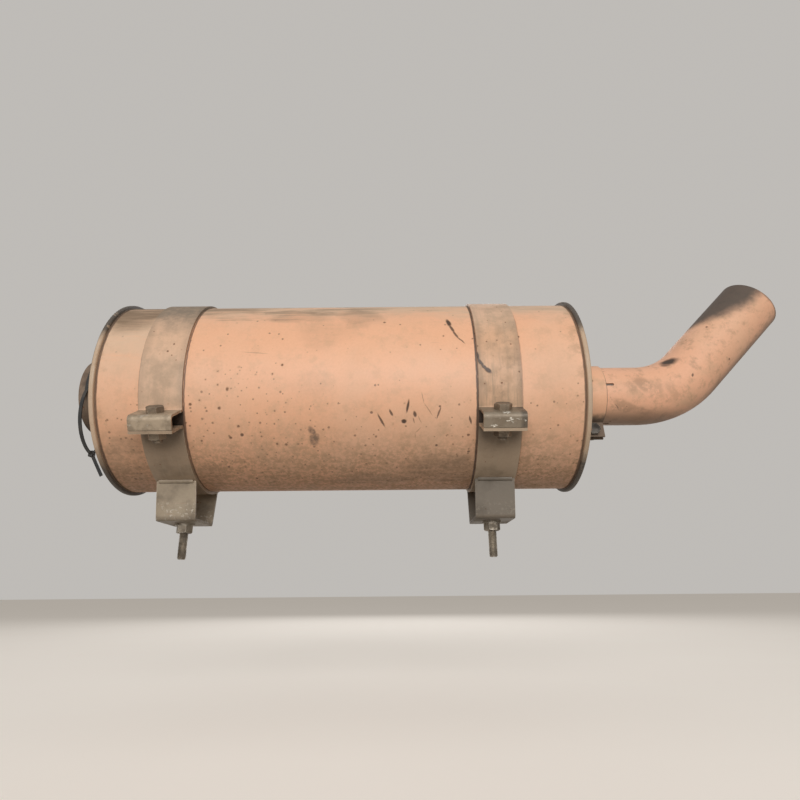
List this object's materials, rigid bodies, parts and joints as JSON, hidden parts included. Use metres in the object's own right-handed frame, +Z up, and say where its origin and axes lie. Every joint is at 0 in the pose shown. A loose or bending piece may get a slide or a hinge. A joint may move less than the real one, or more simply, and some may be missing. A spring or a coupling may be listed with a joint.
{
  "type": "exhaust silencer with tail pipe",
  "caption": "Round engine exhaust silencer with perforated inner pipes, a clamped 45 degree tail pipe and two strap mounts with studded feet.",
  "frame": {"origin": "plane of the two foot soles, midway between the two mounting studs", "axes": "+X along the can towards the tail pipe, -Y the side of the front buckle bolts, +Z up from the feet, so the studs point along -Z"},
  "size_m": [0.8385, 0.254, 0.332],
  "materials": {
    "can_paint": "dusty heat paint",
    "cap_paint": "dusty heat paint",
    "tail_paint": "heat paint, sooty at the outlet",
    "clamp_paint": "heat paint",
    "strap_zinc": "dusty zinc",
    "saddle_steel": "dirty zinc",
    "foot_steel": "scuffed zinc",
    "stud_steel": "worn zinc",
    "buckle_fastener": "dusty zinc",
    "dark_fastener": "blackened",
    "inner_steel": "heat tinted",
    "rusty_pipe": "rusty",
    "tie_plastic": "matte"
  },
  "bodies": {
    "root": {"can_shell": "can_paint", "inlet_end_cap": "cap_paint", "outlet_end_cap": "cap_paint", "inlet_pipe": "rusty_pipe", "inlet_pipe_end_disc": "inner_steel", "outlet_pipe": "inner_steel", "inlet_baffle": "inner_steel", "outlet_baffle": "inner_steel", "tail_pipe": "tail_paint", "tail_clamp_band": "clamp_paint", "tail_clamp_bolt": "dark_fastener", "tail_clamp_nut": "dark_fastener", "cable_tie": "tie_plastic", "inlet_baffle_tube_1": "inner_steel", "inlet_baffle_tube_2": "inner_steel", "inlet_baffle_tube_3": "inner_steel", "inlet_upper_strap": "strap_zinc", "inlet_saddle_strap": "saddle_steel", "inlet_foot": "foot_steel", "inlet_stud_bolt": "stud_steel", "inlet_stud_washer": "stud_steel", "inlet_stud_nut": "stud_steel", "inlet_front_buckle_bolt": "buckle_fastener", "inlet_front_buckle_nut": "buckle_fastener", "inlet_back_buckle_bolt": "buckle_fastener", "inlet_back_buckle_nut": "buckle_fastener", "outlet_baffle_tube_1": "inner_steel", "outlet_baffle_tube_2": "inner_steel", "outlet_baffle_tube_3": "inner_steel", "outlet_upper_strap": "strap_zinc", "outlet_saddle_strap": "saddle_steel", "outlet_foot": "foot_steel", "outlet_stud_bolt": "stud_steel", "outlet_stud_washer": "stud_steel", "outlet_stud_nut": "stud_steel", "outlet_front_buckle_bolt": "buckle_fastener", "outlet_front_buckle_nut": "buckle_fastener", "outlet_back_buckle_bolt": "buckle_fastener", "outlet_back_buckle_nut": "buckle_fastener"}
  },
  "joints": []
}
